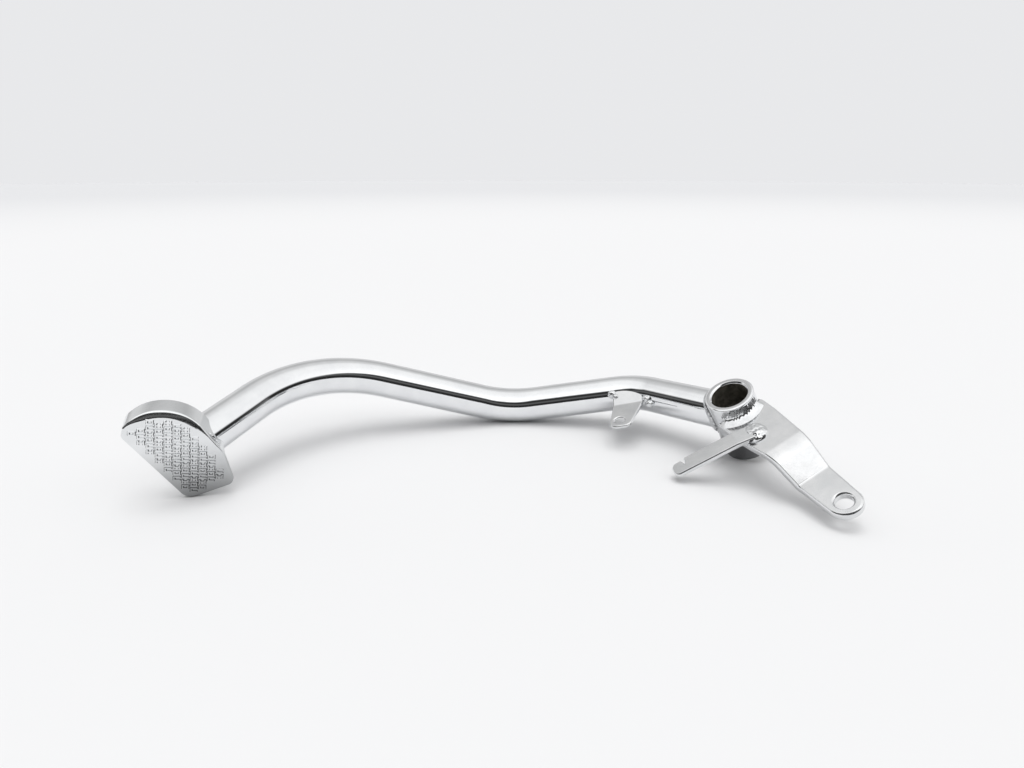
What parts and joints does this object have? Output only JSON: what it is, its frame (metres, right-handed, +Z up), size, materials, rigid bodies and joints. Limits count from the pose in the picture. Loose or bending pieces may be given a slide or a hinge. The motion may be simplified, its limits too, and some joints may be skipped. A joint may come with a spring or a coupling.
{
  "type": "motorbike rear brake pedal",
  "caption": "Rear brake pedal for a motorbike: a bent chromed tube with a grip-faced foot pad, a pivot tube, a stepped lever and two brackets.",
  "frame": {"origin": "middle of the pivot bore, on its axis", "axes": "+X from the foot pad towards the lever, +Y away from the side that the foot pad's grip face looks to, +Z up as the pedal lies on a table"},
  "size_m": [0.2928, 0.1305, 0.0432],
  "materials": {
    "tube_chrome": "polished",
    "plate_chrome": "satin",
    "weld_chrome": "rough"
  },
  "bodies": {
    "root": {"pivot_tube": "tube_chrome", "arm_tube": "tube_chrome", "foot_pad": "plate_chrome", "brake_lever": "plate_chrome", "switch_strip": "plate_chrome", "spring_tab": "plate_chrome", "arm_to_pivot_weld": "weld_chrome", "arm_to_pad_weld": "weld_chrome", "lever_to_pivot_weld": "weld_chrome", "strip_weld": "weld_chrome", "tab_right_weld": "weld_chrome", "tab_left_weld": "weld_chrome"}
  },
  "joints": []
}
